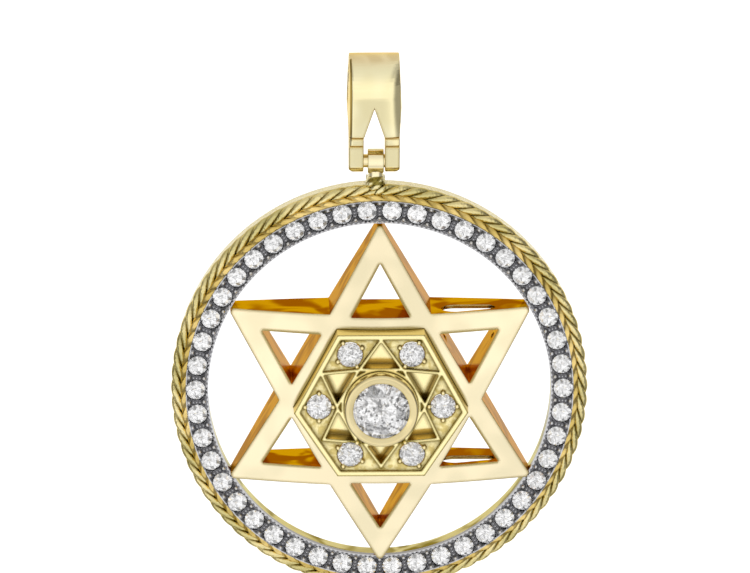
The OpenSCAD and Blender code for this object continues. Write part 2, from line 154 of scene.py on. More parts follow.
def axes(tree, vector):
    """The X, Y and Z of a vector."""
    return add_node(tree, "ShaderNodeSeparateXYZ", {"Vector": vector}).outputs


def ramp(tree, value, start, end, low=0.0, high=1.0, shape="SMOOTHSTEP"):
    """A step from one level to another, between a start and an end."""
    return add_node(tree, "ShaderNodeMapRange", {
        "Value": value, "From Min": start, "From Max": end, "To Min": low, "To Max": high,
    }, interpolation_type=shape).outputs["Result"]


def maths(tree, operation, *values, clamp=False):
    """The result of a Math node."""
    return add_node(
        tree, "ShaderNodeMath", dict(enumerate(values)), operation=operation, use_clamp=clamp).outputs[0]


def vector_maths(tree, operation, inputs, result="Vector"):
    """The result of a Vector Math node."""
    return add_node(tree, "ShaderNodeVectorMath", inputs, operation=operation).outputs[result]


def noise(tree, where, scale, detail, swirl=0.0):
    """The value of a Noise Texture."""
    return add_node(tree, "ShaderNodeTexNoise", {
        "Vector": where, "Scale": scale, "Detail": detail, "Distortion": swirl}).outputs[0]


def blend_colours(tree, factor, first, second):
    """A colour between two others."""
    return add_node(
        tree, "ShaderNodeMix", {"Factor": factor, 6: first, 7: second}, data_type="RGBA").outputs[2]


print("short names ready")

# %% [markdown]
# An effect that serves several materials is drawn once, as a node group with named inputs and outputs.
# Its nodes could be copied into every material, but then each mend would be made many times.

# %% Groups and materials
FLOAT, COLOUR = "NodeSocketFloat", "NodeSocketColor"


def new_group(name, inputs, outputs, gives=FLOAT):
    """An empty group with the named sockets; gives the group, what enters it and where it leaves."""
    group = bpy.data.node_groups.new(name, "ShaderNodeTree")
    for label, value, *kind in inputs:
        socket = group.interface.new_socket(label, in_out="INPUT", socket_type=kind[0] if kind else FLOAT)
        socket.default_value = value
    for label in outputs:
        group.interface.new_socket(label, in_out="OUTPUT", socket_type=gives)
    return group, group.nodes.new("NodeGroupInput").outputs, group.nodes.new("NodeGroupOutput").inputs


def use_group(tree, group, inputs):
    """A group put to use in a material; gives its outputs."""
    return add_node(tree, "ShaderNodeGroup", inputs, node_tree=group).outputs


def plain_material(name, colour, roughness):
    """A material of one Principled shader, and that shader."""
    material = bpy.data.materials.new(name)
    material.use_nodes = True
    shader = material.node_tree.nodes["Principled BSDF"]
    shader.inputs["Base Color"].default_value = (*colour, 1)
    shader.inputs["Roughness"].default_value = roughness
    return material, shader


def bend_normal(tree, shader, height, distance):
    """Lets a height tilt the surface, by a distance in millimetres."""
    bump = add_node(tree, "ShaderNodeBump", {"Height": height, "Distance": distance * MM})
    tree.links.new(bump.outputs["Normal"], shader.inputs["Normal"])


print("group helpers ready")

# %% [markdown]
# Polished gold shows its surroundings more than itself. The studio is a white floor in a pale room that
# is dimmer at both sides. Fronts then turn cream, and every rounded edge that turns to the side draws a
# darker line. Dark cards would do that too, but would be seen. Floor and room dim by one formula.

# %% How the studio dims
SIDE_SHIFT, SIDE_FROM, SIDE_TO, SIDE_SHARE = 0.02, 0.68, 0.97, 0.2
BACK_FROM, BACK_TO, BACK_SHARE = 0.55, 0.95, 0.92


def studio_level(tree, towards):
    """How bright the studio is in a direction: much dimmer at both sides, a little at the back."""
    direction = axes(tree, towards)
    to_side = maths(tree, "ABSOLUTE", maths(tree, "ADD", direction["X"], SIDE_SHIFT))
    return maths(
        tree, "MULTIPLY", ramp(tree, to_side, SIDE_FROM, SIDE_TO, 1.0, SIDE_SHARE),
        ramp(tree, direction["Y"], BACK_FROM, BACK_TO, 1.0, BACK_SHARE))


print("studio level ready")

# %% [markdown]
# The floor is plain white paper. It glows evenly towards the camera, so the picture is white to its
# edges; what the gold mirrors is dimmed at the sides, and as if by a grey card below the front. Lamps
# could light it, but its brightness would then depend on every one of them.

# %% Floor
FLOOR_Z, FLOOR_HALF = -0.085, 3.0
PAPER_GREY, PAPER_ROUGHNESS = (0.2, 0.2, 0.2), 0.9
PAPER_GLOW, EYE_GLOW = 0.93, 1.1
CARD_Y, CARD_CORE, CARD_REACH, CARD_LEVEL = -0.08, 0.0, 0.07, 0.7

floor_bm = bmesh.new()
bmesh.ops.create_grid(floor_bm, x_segments=1, y_segments=1, size=FLOOR_HALF)
floor_mesh = bpy.data.meshes.new("floor")
floor_bm.to_mesh(floor_mesh)
floor_bm.free()
floor_object = bpy.data.objects.new("floor", floor_mesh)
floor_object.location.z = FLOOR_Z
bpy.context.collection.objects.link(floor_object)

white_paper, paper_shader = plain_material("white_paper", PAPER_GREY, PAPER_ROUGHNESS)
paper = white_paper.node_tree
on_floor = coordinates(paper, "Object")
bearing = vector_maths(paper, "NORMALIZE", {0: on_floor})
to_card = vector_maths(paper, "DISTANCE", {0: on_floor, 1: (0, CARD_Y, 0)}, "Value")
glow = maths(paper, "MULTIPLY", studio_level(paper, bearing), PAPER_GLOW)
glow = maths(paper, "MULTIPLY", glow, ramp(paper, to_card, CARD_CORE, CARD_REACH, CARD_LEVEL, 1.0))
seen = paper.nodes.new("ShaderNodeLightPath").outputs["Is Camera Ray"]
glow = maths(paper, "MULTIPLY", glow, maths(paper, "SUBTRACT", 1.0, seen))
glow = maths(paper, "ADD", glow, maths(paper, "MULTIPLY", seen, EYE_GLOW))
paper.links.new(glow, paper_shader.inputs["Emission Strength"])
paper_shader.inputs["Emission Color"].default_value = (1, 1, 1, 1)
floor_mesh.materials.append(white_paper)
print("floor at", FLOOR_Z)

# %% [markdown]
# The room is a gradient: a little warmer at the back, darker overhead and high at the sides. The dark
# front of the camera gives a brilliant its dark facets, so light that leaves a stone finds a small dark
# spot there. A photographed room would do too, but a formula can be tuned.

# %% Room
FRONT_LIGHT, BACK_LIGHT = (1.12, 1.11, 1.09), (1.05, 1.0, 0.92)
FRONT_SIDE, BACK_SIDE = -0.6, 0.7
SKY_FROM, SKY_TO, OVERHEAD_SHARE = 0.05, 1.0, 0.72
HIGH_FROM, HIGH_TO, FLANK_FROM, FLANK_TO, HIGH_SIDE_SHARE = 0.25, 0.6, 0.3, 0.65, 0.6
LENS_EDGE, LENS_INSIDE, LENS_SHARE = cos(radians(12)), cos(radians(7)), 0.1

world = bpy.data.worlds.new("pale_room")
world.use_nodes = True
bpy.context.scene.world = world
room = world.node_tree
for_camera = room.nodes["Background"]
for_camera.inputs["Color"].default_value = (1, 1, 1, 1)
towards = coordinates(room, "Generated")
direction = axes(room, towards)
ray = room.nodes.new("ShaderNodeLightPath").outputs

room_colour = blend_colours(
    room, ramp(room, direction["Y"], FRONT_SIDE, BACK_SIDE), FRONT_LIGHT, BACK_LIGHT)
overhead = ramp(room, direction["Z"], SKY_FROM, SKY_TO, 1.0, OVERHEAD_SHARE)
level = maths(room, "MULTIPLY", overhead, studio_level(room, towards))
high_side = maths(
    room, "MULTIPLY", ramp(room, direction["Z"], HIGH_FROM, HIGH_TO),
    ramp(room, maths(room, "ABSOLUTE", direction["X"]), FLANK_FROM, FLANK_TO))
level = maths(room, "MULTIPLY", level, maths(
    room, "SUBTRACT", 1.0, maths(room, "MULTIPLY", high_side, 1 - HIGH_SIDE_SHARE)))
to_camera = vector_maths(room, "DOT_PRODUCT", {0: towards, 1: back}, "Value")
lens = ramp(room, to_camera, LENS_EDGE, LENS_INSIDE, 0.0, 1 - LENS_SHARE)
lens = maths(room, "SUBTRACT", 1.0, maths(room, "MULTIPLY", lens, ray["Is Transmission Ray"]))
for_metal = add_node(room, "ShaderNodeBackground", {
    "Color": room_colour, "Strength": maths(room, "MULTIPLY", level, lens)})
room_mix = add_node(room, "ShaderNodeMixShader", {
    "Fac": ray["Is Camera Ray"], 1: for_metal.outputs["Background"], 2: for_camera.outputs["Background"]})
room.links.new(room_mix.outputs["Shader"], room.nodes["World Output"].inputs["Surface"])
print("room:", world.name)

# %% [markdown]
# Two soft boxes finish the studio. The large one in front only lifts the shadows: its mirror image would
# be a hard white patch, so polished faces don't show it. The small one at the left is mirrored, and gives
# rounded edges a bright line. Spot lights would leave small glaring dots.

# %% Lights


def soft_light(name, place, width, height, watts, mirrored=True):
    """A rectangular soft box that faces the pendant."""
    data = bpy.data.lights.new(name, "AREA")
    data.shape = "RECTANGLE"
    data.size = width
    data.size_y = height
    data.energy = watts
    light = bpy.data.objects.new(name, data)
    light.location = place
    light.rotation_euler = (Vector(place) - aim).to_track_quat("Z", "Y").to_euler()
    light.visible_glossy = mirrored
    bpy.context.collection.objects.link(light)


soft_light("front_box", (-0.3, -1.1, 0.75), width=1.6, height=1.0, watts=1.5, mirrored=False)
soft_light("left_box", (-1.1, -0.8, 0.1), width=0.5, height=0.9, watts=0.5)

# %% [markdown]
# The first effect that the metals share is the hand finish: a faint waviness left by the polishing wheel,
# finer lines in it, and clouds where the colour is a little deeper. An even gloss is simpler, but it
# reads as plastic.

# %% Hand finish
WAVE_DETAIL, LINE_DETAIL, CLOUD_DETAIL = 2, 4, 1
LINE_SHARE = 0.08
CLOUD_LOW, CLOUD_HIGH = 0.38, 0.62

hand_polish, given, leave = new_group(
    "hand_polish",
    [("Wave Scale", 900.0), ("Line Scale", 9000.0), ("Cloud Scale", 300.0),
     ("Base Roughness", 0.08), ("Roughness Spread", 0.06)],
    ["Height", "Roughness", "Cloud"])
where = coordinates(hand_polish, "Object")
waves = noise(hand_polish, where, given["Wave Scale"], WAVE_DETAIL)
lines = noise(hand_polish, where, given["Line Scale"], LINE_DETAIL)
clouds = noise(hand_polish, where, given["Cloud Scale"], CLOUD_DETAIL)
feed(hand_polish, leave["Height"], maths(
    hand_polish, "ADD", waves, maths(hand_polish, "MULTIPLY", lines, LINE_SHARE)))
feed(hand_polish, leave["Roughness"], maths(
    hand_polish, "ADD", given["Base Roughness"],
    maths(hand_polish, "MULTIPLY", lines, given["Roughness Spread"])))
feed(hand_polish, leave["Cloud"], ramp(hand_polish, clouds, CLOUD_LOW, CLOUD_HIGH))
print("group:", hand_polish.name)

# %% [markdown]
# The second effect tells fronts and backs, which the wheel reaches, from walls, which get painted reflection
# in patches of two colours, such as amber where gold mirrors gold and brown where the dim room is mirrored.
# It goes by the surface's direction, so no face is picked by hand, and it can keep the walls' look near the
# ring's middle.

# %% Fronts and walls
PATCH_DETAIL, PATCH_SWIRL = 1, 0.8
PATCH_LOW, PATCH_HIGH = 0.38, 0.6

facing, given, leave = new_group(
    "facing",
    [("Turned Away", 0.45), ("Turned To", 0.8), ("Patch Scale", 350.0), ("Walls Within", 1.0)],
    ["Front", "No Wall", "Patches"])
to_viewer = maths(facing, "ABSOLUTE", axes(facing, coordinates(facing, "Normal"))["Y"])
front = ramp(facing, to_viewer, given["Turned Away"], given["Turned To"])
where = coordinates(facing, "Object")
across, _, rise = axes(facing, where)
from_middle = maths(facing, "SQRT", maths(facing, "ADD", *(
    maths(facing, "POWER", maths(facing, "SUBTRACT", off, middle), 2.0)
    for off, middle in ((across, face_x), (rise, face_z)))))
outside = maths(facing, "GREATER_THAN", from_middle, given["Walls Within"])
patches = noise(facing, where, given["Patch Scale"], PATCH_DETAIL, PATCH_SWIRL)
# No Wall and Patches mask where the walls get their painted reflection.
feed(facing, leave["Front"], front)
feed(facing, leave["No Wall"], maths(facing, "MAXIMUM", front, outside))
feed(facing, leave["Patches"], ramp(facing, patches, PATCH_LOW, PATCH_HIGH))
print("group:", facing.name)

# %% [markdown]
# The third effect finds recesses by ambient occlusion and gives them the recess colour: painted shade, and
# painted orange where gold mirrors gold. It finds edges in the same way from inside the metal and gives them
# the edge colour: a painted reflection line on gold, and wear on the dark plating. Both could be drawn into
# image textures, but this follows every piece by itself.

# %% Recesses and edges
PROBE_RAYS = 6
EDGE_FROM, EDGE_TO = 0.97, 0.65

recess, given, leave = new_group(
    "recess", [("Reach", 0.001), ("Depth", 1.0), ("Edge Width", 0.0001)], ["Open", "Edge"])
from_outside = add_node(
    recess, "ShaderNodeAmbientOcclusion", {"Distance": given["Reach"]}, samples=PROBE_RAYS, only_local=True)
from_inside = add_node(
    recess, "ShaderNodeAmbientOcclusion", {"Distance": given["Edge Width"]}, samples=PROBE_RAYS, inside=True)
# Open is where no painted recess shade or reflection falls.
feed(recess, leave["Open"], maths(
    recess, "POWER", from_outside.outputs["AO"], given["Depth"], clamp=True))
feed(recess, leave["Edge"], ramp(recess, from_inside.outputs["AO"], EDGE_FROM, EDGE_TO))
print("group:", recess.name)

# %% [markdown]
# Two looks go by place alone: the hammered field lies between two levels of the cluster, and a painted dark
# reflection runs along one line of the bail. A mask worked out from the position stays sharp however close
# the camera comes, which an image texture doesn't.

# %% Masks by place
TEXTURE_BLUR = 0.05
LINE_SOFT, LINE_FADE, LINE_BEFORE = 0.5, 0.4, -1.0


def textured_levels(tree, here, levels):
    """A mask between two levels in front of the halo."""
    low, high = (face_y - level * MM for level in levels)
    blur = TEXTURE_BLUR * MM
    return maths(
        tree, "MULTIPLY", ramp(tree, here["Y"], high - blur, high + blur),
        ramp(tree, here["Y"], low - blur, low + blur, 1.0, 0.0))


# The mask of a painted dark reflection line.
def dark_reflection_line(tree, here, x, half_width, foot, top):
    """A mask along an upright line of the front, which fades at both ends."""
    off_line = maths(tree, "ABSOLUTE", maths(tree, "SUBTRACT", here["X"], x * MM))
    soft = half_width * LINE_SOFT
    mask = ramp(tree, off_line, (half_width - soft) * MM, (half_width + soft) * MM, 1.0, 0.0)
    for limit, before, after in ((foot, 0.0, 1.0), (top, 1.0, 0.0)):
        mask = maths(tree, "MULTIPLY", mask, ramp(
            tree, here["Z"], (limit - LINE_FADE) * MM, (limit + LINE_FADE) * MM, before, after))
    return maths(tree, "MULTIPLY", mask, maths(tree, "LESS_THAN", here["Y"], LINE_BEFORE * MM))


print("masks ready")

# %% [markdown]
# Polished 14 carat gold: a metal, pale where the light falls on it and orange where gold reflects gold.
# Light that bounces often enough shows that by itself, but only at many samples, so the recess colour paints
# that reflection, and paints shade where recesses are dark. One recipe serves every piece, each with its own
# colours.

# %% The recipe for metals
DEEPER = Vector((0.95, 0.93, 0.87))
EDGE_GLOSS = 0.4


def metal(name, open_colour, painted_recess_colour, roughness, reach, depth=1.4, tint=None, walls=None,
          walls_within=None, edge_wear_and_reflection_colour=None, edge_width=0.12, mottled=None, wave_height=0.0015,
          wave_size=0.9, textured=None, line=None):
    """A polished metal with painted shade and reflection in its recesses.

    Lengths are in millimetres. The tint colours what is mirrored at a grazing angle. The two wall colours
    are painted reflection and lie in patches, if need be only within a distance from the ring's middle.
    The edge colour paints the reflection of rounded edges on gold, and wear on the dark plating. The
    mottled colour lies in clouds. Textured metal has its clouds and waves only between two levels in front
    of the halo. A line is a painted dark reflection along the front, given by its x, half width, two ends
    and colour."""
    material, shader = plain_material(name, open_colour, roughness)
    tree = material.node_tree
    shader.inputs["Metallic"].default_value = 1
    if tint:
        shader.inputs["Specular Tint"].default_value = (*tint, 1)
    wave_scale = 1 / (wave_size * MM)
    inputs = {"Base Roughness": roughness, "Wave Scale": wave_scale}
    if textured:
        inputs["Cloud Scale"] = wave_scale
    finish = use_group(tree, hand_polish, inputs)
    shade = use_group(tree, recess, {
        "Reach": reach * MM, "Depth": depth, "Edge Width": edge_width * MM})
    here = axes(tree, coordinates(tree, "Object"))
    height, cloud, edge = finish["Height"], finish["Cloud"], shade["Edge"]
    if walls:
        side = use_group(tree, facing, {"Walls Within": walls_within * MM} if walls_within else {})
        edge = maths(tree, "MULTIPLY", edge, side["Front"])
    if textured:
        within = textured_levels(tree, here, textured)
        if walls:
            within = maths(tree, "MULTIPLY", within, side["Front"])
        height = maths(tree, "MULTIPLY", height, within)
        cloud = maths(tree, "MAXIMUM", cloud, maths(tree, "SUBTRACT", 1.0, within))
    bend_normal(tree, shader, height, wave_height)

    deeper = mottled or tuple(a * b for a, b in zip(open_colour, DEEPER))
    colour = blend_colours(tree, cloud, deeper, open_colour)
    # Painted shade and reflection: recesses take the recess colour.
    colour = blend_colours(tree, shade["Open"], painted_recess_colour, colour)
    # Walls get painted reflection, in patches of the two wall colours.
    if walls:
        colour = blend_colours(tree, side["No Wall"], blend_colours(tree, side["Patches"], *walls), colour)
    # Edges take a painted reflection line on gold, and wear on the dark plating.
    if edge_wear_and_reflection_colour:
        colour = blend_colours(tree, edge, colour, edge_wear_and_reflection_colour)
    # A painted dark reflection along a line of the front.
    if line:
        *line_at, line_reflection_colour = line
        colour = blend_colours(tree, dark_reflection_line(tree, here, *line_at), colour, line_reflection_colour)
    tree.links.new(colour, shader.inputs["Base Color"])
    worn = maths(tree, "SUBTRACT", 1.0, maths(tree, "MULTIPLY", shade["Edge"], EDGE_GLOSS))
    tree.links.new(maths(tree, "MULTIPLY", finish["Roughness"], worn), shader.inputs["Roughness"])
    return material


print("metal recipe ready")

# %% [markdown]
# The golds differ by what was done to them, and by painted light. The star is pale in front, with amber and
# brown walls of painted reflection; the cluster is engraved and hammered, with dark walls of painted shade;
# rope, seam and knob are wire and solder, darker and uneven, their darkness partly painted shade of their
# twists and creases, and the seam's orange a painted reflection of the rope. The bezel's gold is a little
# darker as painted shade, and in every gold the wall, recess and edge colours are painted light. One gold
# for all would be true to the alloy, but not to the look that each tool leaves.

# %% Golds
# AMBER and BROWN paint reflection on the star's walls: gold mirrored in gold, and the dim room.
AMBER, BROWN = (0.95, 0.68, 0.17), (0.42, 0.2, 0.03)

gold = metal(
    "polished_gold", open_colour=(1.0, 0.88, 0.60), painted_recess_colour=(0.9, 0.6, 0.2), roughness=0.12,
    tint=(0.62, 0.36, 0.07), walls=(BROWN, AMBER), reach=0.35, depth=1.0, mottled=(0.9, 0.8, 0.54),
    edge_wear_and_reflection_colour=(0.34, 0.26, 0.09), edge_width=0.3)
plain_gold = metal(
    "plain_gold", open_colour=(1.0, 0.88, 0.57), painted_recess_colour=(0.75, 0.55, 0.2), roughness=0.12,
    tint=(1.0, 0.85, 0.5), reach=0.4, edge_wear_and_reflection_colour=(0.55, 0.46, 0.2), edge_width=0.3)
ring_gold = metal(
    "ring_gold", open_colour=(1.0, 0.91, 0.64), painted_recess_colour=(0.9, 0.66, 0.25), roughness=0.1,
    tint=(0.7, 0.66, 0.4), walls=((0.24, 0.17, 0.03), (0.92, 0.84, 0.52)), walls_within=14.3,
    reach=0.25, edge_wear_and_reflection_colour=(0.6, 0.55, 0.3))
# bail_gold paints a dark reflection line along the bail's left edge.
bail_gold = metal(
    "bail_gold", open_colour=(0.99, 0.91, 0.58), painted_recess_colour=(0.75, 0.55, 0.2), roughness=0.12,
    tint=(1.0, 0.85, 0.5), walls=((0.84, 0.70, 0.40), (0.97, 0.84, 0.52)), reach=0.4,
    edge_wear_and_reflection_colour=(0.62, 0.52, 0.26), edge_width=0.25, line=(-1.92, 0.08, -5.9, 1.1, (0.34, 0.24, 0.07)))
# The cluster's dark walls are painted shade.
cluster_gold = metal(
    "cluster_gold", open_colour=(1.0, 0.88, 0.47), painted_recess_colour=(0.12, 0.08, 0.005), roughness=0.1,
    tint=(1.0, 0.9, 0.6), walls=((0.07, 0.04, 0.004), (0.5, 0.32, 0.06)), walls_within=5.55,
    reach=0.5, depth=2.8, edge_wear_and_reflection_colour=(0.2, 0.15, 0.02), edge_width=0.16,
    mottled=(0.72, 0.58, 0.22), wave_height=0.06, wave_size=0.5, textured=(5.3, 5.56))
grain_gold = metal(
    "grain_gold", open_colour=(1.0, 0.86, 0.46), painted_recess_colour=(0.3, 0.2, 0.03), roughness=0.12,
    reach=0.15, edge_width=0.05)
bezel_gold = metal(
    "bezel_gold", open_colour=(0.81, 0.70, 0.41), painted_recess_colour=(0.5, 0.33, 0.08), roughness=0.14,
    reach=0.4, edge_wear_and_reflection_colour=(0.6, 0.48, 0.2))
rope_gold = metal(
    "rope_gold", open_colour=(0.84, 0.72, 0.36), painted_recess_colour=(0.12, 0.09, 0.01), roughness=0.1,
    tint=(1.0, 0.85, 0.45), reach=0.25, depth=2.8, edge_width=0.05, mottled=(0.62, 0.54, 0.23),
    wave_height=0.055, wave_size=0.22)
seam_gold = metal(
    "seam_gold", open_colour=(0.84, 0.63, 0.24), painted_recess_colour=(0.18, 0.12, 0.015), roughness=0.12,
    tint=(1.0, 0.85, 0.45), reach=0.3, depth=2.0, edge_width=0.05, mottled=(0.64, 0.47, 0.14),
    wave_height=0.035, wave_size=0.25)
wrap_gold = metal(
    "wrap_gold", open_colour=(0.92, 0.84, 0.48), painted_recess_colour=(0.12, 0.1, 0.01), roughness=0.14,
    reach=0.25, depth=1.5, edge_wear_and_reflection_colour=(0.25, 0.2, 0.04), wave_height=0.09, wave_size=0.25)
print("golds:", sum(m.name.endswith("_gold") for m in bpy.data.materials))

# %% [markdown]
# The halo is plated with black rhodium, so that its stones look larger and whiter. Rails and beads are
# cut bright after plating. Three metals of one family show that better than one with a painted mask.

# %% Dark plating
dark_plating = metal(
    "dark_plating", open_colour=(0.07, 0.07, 0.075), painted_recess_colour=(0.006, 0.006, 0.008), roughness=0.18,
    reach=0.3, edge_wear_and_reflection_colour=(0.3, 0.3, 0.32), edge_width=0.08)
rail_plating = metal(
    "rail_plating", open_colour=(0.2, 0.2, 0.215), painted_recess_colour=(0.04, 0.04, 0.045), roughness=0.18,
    reach=0.2, edge_wear_and_reflection_colour=(0.6, 0.6, 0.62), edge_width=0.08)
bright_bead = metal(
    "bright_bead", open_colour=(0.62, 0.62, 0.64), painted_recess_colour=(0.06, 0.06, 0.07), roughness=0.12,
    reach=0.15, depth=1.2, edge_width=0.04)
print("plating:", [m.name for m in (dark_plating, rail_plating, bright_bead)])

# %% [markdown]
# A diamond is clear, and bends light so strongly that its back facets act as mirrors. Real glass with
# diamond's index of refraction does this by itself once the facets are cut, but only a few bounces are
# followed. So each facet gets a slight painted reflection tone, some of them dark, and small painted sparks
# stand for further mirrored facets; a faint painted glow brightens the stones.

# %% The tone of facets
FACET_STEP, DARK_BLUR = 0.07, 0.1
SPARK_FROM, SPARK_TO = 0.15, 0.43

painted_facet_tone, given, leave = new_group(
    "painted_facet_tone",
    [("Darkest", 0.1), ("Dark Share", 0.3), ("Spark Scale", 4000.0),
     ("Spark Darkest", 0.4), ("Tint", (0.99, 0.99, 1.0, 1), COLOUR)],
    ["Color"], gives=COLOUR)
facet_normal = vector_maths(
    painted_facet_tone, "SNAP", {0: coordinates(painted_facet_tone, "Normal"), 1: (FACET_STEP, FACET_STEP, FACET_STEP)})
facet_dice = add_node(painted_facet_tone, "ShaderNodeTexWhiteNoise", {"Vector": facet_normal}).outputs["Value"]
dark_from, dark_to = (
    maths(painted_facet_tone, "ADD", given["Dark Share"], shift) for shift in (-DARK_BLUR, DARK_BLUR))
facet_level = ramp(painted_facet_tone, facet_dice, dark_from, dark_to, given["Darkest"])
sparks = add_node(painted_facet_tone, "ShaderNodeTexVoronoi", {
    "Vector": coordinates(painted_facet_tone, "Object"), "Scale": given["Spark Scale"]})
spark_dice = add_node(painted_facet_tone, "ShaderNodeSeparateColor", {"Color": sparks.outputs["Color"]})
spark_level = ramp(
    painted_facet_tone, spark_dice.outputs["Red"], SPARK_FROM, SPARK_TO, given["Spark Darkest"], shape="LINEAR")
feed(painted_facet_tone, leave["Color"], vector_maths(painted_facet_tone, "SCALE", {
    0: given["Tint"], "Scale": maths(painted_facet_tone, "MULTIPLY", facet_level, spark_level)}))
print("group:", painted_facet_tone.name)

# %% [markdown]
# The centre stone, the side stones and the halo's small stones differ in size, and so in how fine their
# mosaic looks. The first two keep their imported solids: they only get a material.

# %% Stones
DIAMOND_IOR = 2.42
# STONE_GLOW gives each stone a faint painted glow.
STONE_COLOUR, STONE_GLOW, STONE_SPREAD = (0.97, 0.98, 1.0), 0.03, 0.03


def cut_stone(name, darkest, dark_share, spark_size, spark_darkest, wave_height=0.0, wave_size=0.4):
    """A clear stone with painted reflection: some facets toned down and small painted sparks, a faint
    painted glow, and a slightly wavy polish.
    """
    material, shader = plain_material(name, STONE_COLOUR, 0.0)
    tree = material.node_tree
    shader.inputs["Transmission Weight"].default_value = 1
    shader.inputs["IOR"].default_value = DIAMOND_IOR
    shader.inputs["Emission Strength"].default_value = STONE_GLOW
    tone = use_group(tree, painted_facet_tone, {
        "Darkest": darkest, "Dark Share": dark_share, "Spark Scale": 1 / (spark_size * MM),
        "Spark Darkest": spark_darkest})
    tree.links.new(tone["Color"], shader.inputs["Base Color"])
    finish = use_group(tree, hand_polish, {
        "Base Roughness": 0.0, "Roughness Spread": STONE_SPREAD, "Wave Scale": 1 / (wave_size * MM)})
    tree.links.new(finish["Roughness"], shader.inputs["Roughness"])
    if wave_height:
        bend_normal(tree, shader, finish["Height"], wave_height)
    return material


diamond = cut_stone(
    "diamond", darkest=0.25, dark_share=0.2, spark_size=0.21, spark_darkest=0.02, wave_height=0.01,
    wave_size=0.25)
side_diamond = cut_stone(
    "side_diamond", darkest=0.3, dark_share=0.12, spark_size=0.15, spark_darkest=0.12,
    wave_height=0.008, wave_size=0.2)
melee = cut_stone("melee_diamond", darkest=0.06, dark_share=0.14, spark_size=0.22, spark_darkest=0.6)
STONES = {"centre_stone": diamond, **{f"side_stone_{i}": side_diamond for i in range(1, 7)}}
for stone, material in STONES.items():
    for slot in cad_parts[stone].material_slots:
        slot.material = material
print("stones with their own node:", len(STONES))

# %% [markdown]
# Every new piece ends in the same way: it gets its materials, is shaded smooth between its sharp edges,
# and is told which body it rides on. The facets of stones stay flat, because a smooth blend would blur
# them. Each piece could do this for itself, but one helper keeps them alike.

# %% Placing a piece


def place(bm, name, body, materials, smooth_under=35, flat_slot=None):
    """Turns a finished bmesh into a piece that rides on a body. Faces of the flat slot keep their facets."""
    mesh = bpy.data.meshes.new(name)
    bm.to_mesh(mesh)
    bm.free()
    mesh.shade_smooth()
    mesh.set_sharp_from_angle(angle=radians(smooth_under))
    for polygon in mesh.polygons:
        polygon.use_smooth = polygon.material_index != flat_slot
    for material in materials:
        mesh.materials.append(material)
    piece = bpy.data.objects.new(name, mesh)
    bpy.context.collection.objects.link(piece)
    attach(piece, body)
    return piece


print("placing ready")

# %% [markdown]
# Casting and polishing leave no truly sharp edge. Five pieces keep their imported form: a copy of each solid
# is welded, its flat triangles are melted into whole faces, and every hard edge gets a small round that
# catches the light. A bevel modifier could do that, but the normals couldn't be set after it.

# %% Pieces with eased edges
WELD = 1e-7
FLAT, HARD_EDGE = radians(0.05), radians(28)
ROUND_STEPS, ROUND_PROFILE = 2, 0.5
WEIGH_WITHIN = 50


def weigh_normals(mesh, within):
    """Lets large flat faces keep their direction, so that a narrow round carries the whole turn."""
    limit = cos(radians(within))
    around = [[] for _ in mesh.vertices]
    for polygon in mesh.polygons:
        for vertex in polygon.vertices:
            around[vertex].append((polygon.normal.copy(), polygon.area))
    normals = []
    for polygon in mesh.polygons:
        own = polygon.normal
        for vertex in polygon.vertices:
            total = sum((n * area for n, area in around[vertex] if n.dot(own) > limit), Vector())
            normals.append(total.normalized())
    mesh.normals_split_custom_set(normals)


def eased_piece(node, name, body, material, width, shaped=None):
    """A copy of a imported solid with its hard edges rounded; the width is in millimetres."""
    bm = bmesh.new()
    bm.from_mesh(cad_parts[node].data)
    bmesh.ops.remove_doubles(bm, verts=bm.verts, dist=WELD)
    bmesh.ops.dissolve_limit(bm, angle_limit=FLAT, verts=bm.verts, edges=bm.edges)
    if shaped:
        shaped(bm)
    bm.normal_update()
    hard = [edge for edge in bm.edges if edge.calc_face_angle(0) > HARD_EDGE]
    bmesh.ops.bevel(
        bm, geom=hard, offset=width * MM, segments=ROUND_STEPS, profile=ROUND_PROFILE, affect="EDGES",
        clamp_overlap=False, loop_slide=True)
    piece = place(bm, name, body, [material])
    weigh_normals(piece.data, WEIGH_WITHIN)
    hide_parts(node)
    print(name, "has", len(piece.data.polygons), "faces")
    return piece


star = eased_piece("star_frame", "star", "pendant", gold, width=0.05)

# %% [markdown]
# The star's front is part of a wide cone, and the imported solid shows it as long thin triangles. Their
# normals would ripple in a mirror finish, so each corner of the front gets the cone's own normal.
# A subdivided front could be remeshed instead, but the exact formula is shorter and truly smooth.

# %% True normals for the domed front
DOME_SLOPE = radians(21)
DOME_FLAT_R = 5.66
ON_DOME, NEAR_DOME = 0.9995, 0.8


def dome_normal(point):
    """The domed front's normal at a place in the frame."""
    across, rise = point.x - face_x, point.z - face_z
    if hypot(across, rise) < DOME_FLAT_R * MM:
        return Vector((0, -1, 0))
    angle = atan2(rise, across)
    return Vector((sin(DOME_SLOPE) * cos(angle), -cos(DOME_SLOPE), sin(DOME_SLOPE) * sin(angle)))


star_mesh = star.data
star_normals = [corner.vector.copy() for corner in star_mesh.corner_normals]
on_dome = set()
for polygon in star_mesh.polygons:
    if polygon.normal.dot(dome_normal(polygon.center)) > ON_DOME:
        on_dome.update(polygon.vertices)
for polygon in star_mesh.polygons:
    if polygon.normal.dot(dome_normal(polygon.center)) < NEAR_DOME:
        continue
    for corner, vertex in zip(polygon.loop_indices, polygon.vertices):
        if vertex in on_dome:
            star_normals[corner] = dome_normal(star_mesh.vertices[vertex].co)
star_mesh.normals_split_custom_set(star_normals)
print("corners on the dome:", len(on_dome))

# %% [markdown]
# The cluster plate and the ring with its hanger are cast and polished in the same way, so they go
# through the same easing. The flange behind the rope and the foot of the hanger are filled with solder,
# so their faces get its rougher gold.

